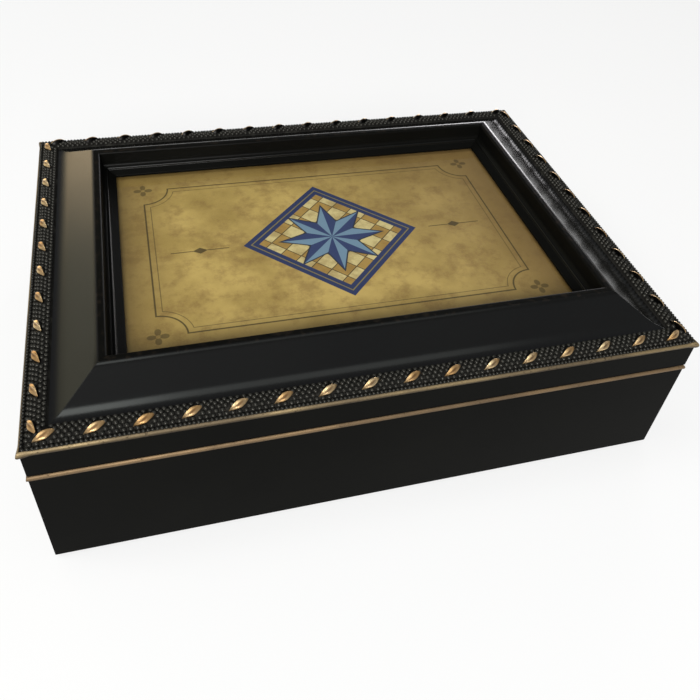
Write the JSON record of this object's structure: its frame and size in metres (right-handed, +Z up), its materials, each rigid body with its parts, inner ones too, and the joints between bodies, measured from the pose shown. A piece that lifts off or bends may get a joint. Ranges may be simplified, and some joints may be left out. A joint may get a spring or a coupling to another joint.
{
  "type": "keepsake box",
  "caption": "Hinged keepsake box in black and gilt, with a lined inside and a moulded picture-frame lid holding a small landscape print under glass.",
  "frame": {"origin": "middle of the felt underside that the box stands on", "axes": "+X along the front to the viewer's right, +Y from the front to the hinged back, +Z up"},
  "size_m": [0.2032, 0.1571, 0.0595],
  "materials": {
    "black_lacquer": "satin black lacquer",
    "old_gilt": "rubbed gold paint",
    "copper_gilt": "coppery gold paint",
    "lining_cloth": "short-pile velvet on card",
    "felt": "black felt",
    "bare_board": "bare fibreboard",
    "glass": "clear picture glass",
    "printed_paper": "printed parchment paper",
    "grey_card": "grey card",
    "hinge_brass": "brass plate",
    "steel": "bright steel"
  },
  "bodies": {
    "case": {"felt_base": "felt", "case_floor": "bare_board", "floor_lining": "lining_cloth", "corner_brads": "steel", "hinge_screws_case": "hinge_brass", "case_wall_front": "black_lacquer", "case_wall_right": "black_lacquer", "case_wall_back": "black_lacquer", "case_wall_left": "black_lacquer", "wall_lining_front": "lining_cloth", "wall_lining_right": "lining_cloth", "wall_lining_back": "lining_cloth", "wall_lining_left": "lining_cloth", "gilt_bead_case_front": "copper_gilt", "gilt_bead_case_right": "copper_gilt", "gilt_bead_case_back": "copper_gilt", "gilt_bead_case_left": "copper_gilt", "hinge_left_case_plate": "hinge_brass", "hinge_left_pin": "hinge_brass", "hinge_right_case_plate": "hinge_brass", "hinge_right_pin": "hinge_brass"},
    "lid": {"glass_pane": "glass", "print_card": "printed_paper", "backing_board": "grey_card", "lid_board": "lining_cloth", "v_nails": "steel", "framers_points": "steel", "hinge_screws_lid": "hinge_brass", "lid_rail_front": "black_lacquer", "lid_rail_right": "black_lacquer", "lid_rail_back": "black_lacquer", "lid_rail_left": "black_lacquer", "gilt_bead_lid_front": "old_gilt", "gilt_bead_lid_right": "old_gilt", "gilt_bead_lid_back": "old_gilt", "gilt_bead_lid_left": "old_gilt", "ornament_band_front": "black_lacquer", "ornament_band_right": "black_lacquer", "ornament_band_back": "black_lacquer", "ornament_band_left": "black_lacquer", "gilt_leaves_front": "old_gilt", "gilt_leaves_right": "old_gilt", "gilt_leaves_back": "old_gilt", "gilt_leaves_left": "old_gilt", "hinge_left_lid_plate": "hinge_brass", "hinge_right_lid_plate": "hinge_brass"}
  },
  "joints": [
    {"name": "lid_hinge", "type": "hinge", "parent": "case", "child": "lid", "pos_m": [0, 0.078, 0.0416], "axis": [-1, 0, 0], "range_deg": [0, 100]}
  ]
}
